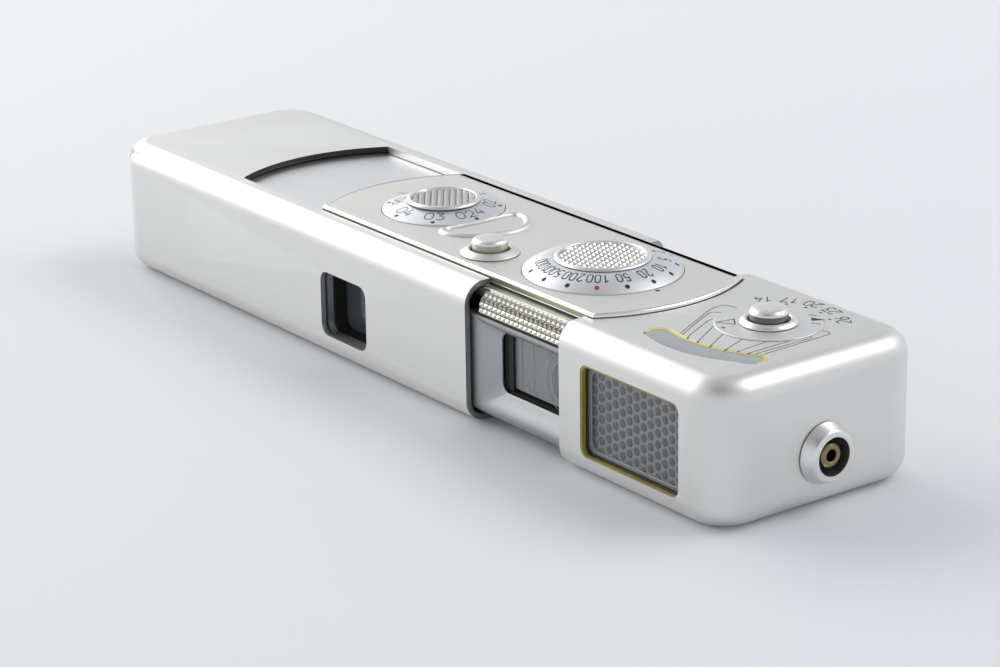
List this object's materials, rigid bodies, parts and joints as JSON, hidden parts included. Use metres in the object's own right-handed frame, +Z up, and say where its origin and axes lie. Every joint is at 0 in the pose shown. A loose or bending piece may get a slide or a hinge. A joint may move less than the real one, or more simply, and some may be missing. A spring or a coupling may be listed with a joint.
{
  "type": "sliding subminiature film camera",
  "caption": "Flat subminiature film camera with a sliding aluminium sleeve, top dials, a viewfinder and a light meter at one end.",
  "frame": {"origin": "middle of the bottom of the bounding box, with the sleeve pulled open", "axes": "+X along the length towards the meter housing and its flash socket, -Y the front with the lens and viewfinder, +Z up out of the dials"},
  "size_m": [0.1174, 0.028, 0.0182],
  "materials": {
    "bottom_cover": "fine bead-blasted satin",
    "cell_gasket": "aged clear cement",
    "cell_window": "moulded",
    "chassis_frame": "satin",
    "counter_bezel": "satin",
    "counter_disc": "black anodised",
    "cover_screw_back": "slotted",
    "cover_screw_front": "slotted",
    "dial_plate": "matt grey satin with a polished edge",
    "distance_dial_disc": "satin plated, engraved and filled black",
    "distance_dial_knob": "polished ring, knurled top",
    "drive_pinion": "cut",
    "drive_rack": "cut",
    "eyepiece_bezel": "matt black",
    "film_cassette": "black lacquer",
    "film_door": "fine bead-blasted satin",
    "film_gate": "matt black",
    "film_speed_disc": "satin, engraved",
    "film_speed_knob": "fine turned",
    "film_strip": "film base",
    "filter_glass": "green filter",
    "filter_slide": "pyramid knurl",
    "flash_socket_collar": "turned",
    "focus_cam": "milled",
    "front_lens_element": "coated",
    "galvanometer_magnet": "plain",
    "lens_barrel": "black anodised",
    "lens_guide": "milled",
    "lens_hood": "matt black",
    "lens_window": "coated",
    "meter_housing": "fine bead-blasted satin",
    "meter_needle": "black",
    "needle_window": "clear moulding",
    "parallax_frame": "matt black",
    "pinion_post": "turned",
    "pressure_plate": "black, smooth",
    "pressure_spring": "spring temper",
    "rear_lens_element": "coated",
    "release_bracket": "plain",
    "release_button": "fine satin",
    "release_collar": "satin",
    "release_lever": "plain",
    "release_spring": "drawn wire",
    "selenium_cell": "selenium layer",
    "shutter_front_blade": "blackened",
    "shutter_pivot_pin": "turned",
    "shutter_plate": "matt black",
    "shutter_rear_blade": "blackened",
    "shutter_speed_cam": "milled",
    "sleeve": "fine bead-blasted satin",
    "socket_contact": "turned",
    "socket_insulator": "moulded",
    "speed_dial_disc": "satin plated, engraved and filled black",
    "speed_dial_knob": "polished ring, knurled top",
    "take_up_spool": "moulded",
    "viewfinder_bezel": "frosted",
    "viewfinder_eyepiece_lens": "polished",
    "viewfinder_front_lens": "polished",
    "viewfinder_tube": "matt black",
    "winding_gear": "cut"
  },
  "bodies": {
    "camera_body": {"bottom_cover": "bottom_cover", "cell_gasket": "cell_gasket", "cell_window": "cell_window", "chassis_frame": "chassis_frame", "counter_bezel": "counter_bezel", "cover_screw_back": "cover_screw_back", "cover_screw_front": "cover_screw_front", "dial_plate": "dial_plate", "eyepiece_bezel": "eyepiece_bezel", "film_cassette": "film_cassette", "film_door": "film_door", "film_gate": "film_gate", "film_strip": "film_strip", "flash_socket_collar": "flash_socket_collar", "galvanometer_magnet": "galvanometer_magnet", "lens_guide": "lens_guide", "lens_hood": "lens_hood", "lens_window": "lens_window", "meter_housing": "meter_housing", "needle_window": "needle_window", "pinion_post": "pinion_post", "pressure_plate": "pressure_plate", "pressure_spring": "pressure_spring", "release_bracket": "release_bracket", "release_collar": "release_collar", "release_spring": "release_spring", "selenium_cell": "selenium_cell", "shutter_pivot_pin": "shutter_pivot_pin", "shutter_plate": "shutter_plate", "socket_contact": "socket_contact", "socket_insulator": "socket_insulator", "viewfinder_bezel": "viewfinder_bezel", "viewfinder_eyepiece_lens": "viewfinder_eyepiece_lens", "viewfinder_front_lens": "viewfinder_front_lens", "viewfinder_tube": "viewfinder_tube"},
    "sleeve": {"sleeve": "sleeve", "drive_rack": "drive_rack"},
    "drive_pinion": {"drive_pinion": "drive_pinion"},
    "winding_gear": {"winding_gear": "winding_gear", "take_up_spool": "take_up_spool"},
    "frame_counter": {"counter_disc": "counter_disc"},
    "speed_dial": {"speed_dial_disc": "speed_dial_disc", "speed_dial_knob": "speed_dial_knob", "shutter_speed_cam": "shutter_speed_cam"},
    "distance_dial": {"distance_dial_disc": "distance_dial_disc", "distance_dial_knob": "distance_dial_knob", "focus_cam": "focus_cam"},
    "lens": {"lens_barrel": "lens_barrel", "front_lens_element": "front_lens_element", "rear_lens_element": "rear_lens_element"},
    "parallax_frame": {"parallax_frame": "parallax_frame"},
    "release_button": {"release_button": "release_button"},
    "release_lever": {"release_lever": "release_lever"},
    "filter": {"filter_slide": "filter_slide", "filter_glass": "filter_glass"},
    "front_blade": {"shutter_front_blade": "shutter_front_blade"},
    "rear_blade": {"shutter_rear_blade": "shutter_rear_blade"},
    "meter_needle": {"meter_needle": "meter_needle"},
    "film_speed_dial": {"film_speed_disc": "film_speed_disc", "film_speed_knob": "film_speed_knob"}
  },
  "joints": [
    {"name": "sleeve_slide", "type": "slide", "parent": "camera_body", "child": "sleeve", "axis": [1, 0, 0], "range_m": [0, 0.0161]},
    {"name": "pinion_turn", "type": "hinge", "parent": "camera_body", "child": "drive_pinion", "pos_m": [0.00876, 0.0086, 0.0129], "axis": [0, 0, 1], "range_deg": [-308, 0]},
    {"name": "winding_turn", "type": "hinge", "parent": "camera_body", "child": "winding_gear", "pos_m": [0.00661, 0.003, 0.0129], "axis": [0, 0, 1], "range_deg": [0, 308]},
    {"name": "counter_turn", "type": "hinge", "parent": "camera_body", "child": "frame_counter", "pos_m": [0.0016, 0.0072, 0.0137], "axis": [0, 0, 1], "range_deg": [0, 8]},
    {"name": "speed_dial_turn", "type": "hinge", "parent": "camera_body", "child": "speed_dial", "pos_m": [0.02143, 0, 0.0165], "axis": [0, 0, 1], "range_deg": [-129, 116]},
    {"name": "distance_dial_turn", "type": "hinge", "parent": "camera_body", "child": "distance_dial", "pos_m": [-0.00794, 0, 0.0165], "axis": [0, 0, 1], "range_deg": [-234.6, 110]},
    {"name": "lens_focus", "type": "slide", "parent": "camera_body", "child": "lens", "axis": [0, -1, 0], "range_m": [-0.0004, 0.00083]},
    {"name": "parallax_shift", "type": "slide", "parent": "camera_body", "child": "parallax_frame", "axis": [1, 0, 0], "range_m": [-0.00042, 0.0002]},
    {"name": "release_press", "type": "slide", "parent": "camera_body", "child": "release_button", "axis": [0, 0, -1], "range_m": [0, 0.0009], "stiffness_N_per_m": 400, "springref_m": -0.001, "deforming": ["release_spring"]},
    {"name": "lever_tilt", "type": "hinge", "parent": "camera_body", "child": "release_lever", "pos_m": [0.0036, -0.00589, 0.0115], "axis": [0, 1, 0], "range_deg": [0, 10.2]},
    {"name": "filter_shift", "type": "slide", "parent": "camera_body", "child": "filter", "axis": [1, 0, 0], "range_m": [-0.009, 0]},
    {"name": "front_blade_swing", "type": "hinge", "parent": "camera_body", "child": "front_blade", "pos_m": [-0.00844, -0.00865, 0.0127], "axis": [0, 1, 0], "range_deg": [0, 62]},
    {"name": "rear_blade_swing", "type": "hinge", "parent": "camera_body", "child": "rear_blade", "pos_m": [-0.00844, -0.0081, 0.0127], "axis": [0, 1, 0], "range_deg": [0, 62]},
    {"name": "needle_swing", "type": "hinge", "parent": "camera_body", "child": "meter_needle", "pos_m": [0.04529, 0.00287, 0.0139], "axis": [0, 0, 1], "range_deg": [0, 68]},
    {"name": "film_speed_turn", "type": "hinge", "parent": "camera_body", "child": "film_speed_dial", "pos_m": [0.04529, 0.00287, 0.0161], "axis": [0, 0, 1], "range_deg": [-3, 83]}
  ],
  "couplings": [
    {"joint": "pinion_turn", "follows": "sleeve_slide", "rad_per_m": -333.33},
    {"joint": "winding_turn", "follows": "sleeve_slide", "rad_per_m": 333.33},
    {"joint": "counter_turn", "follows": "sleeve_slide", "rad_per_m": 7.8052},
    {"joint": "lens_focus", "follows": "distance_dial_turn", "m_per_rad": -0.0002},
    {"joint": "parallax_shift", "follows": "distance_dial_turn", "m_per_rad": 0.0001},
    {"joint": "lever_tilt", "follows": "release_press", "rad_per_m": 187.62}
  ]
}
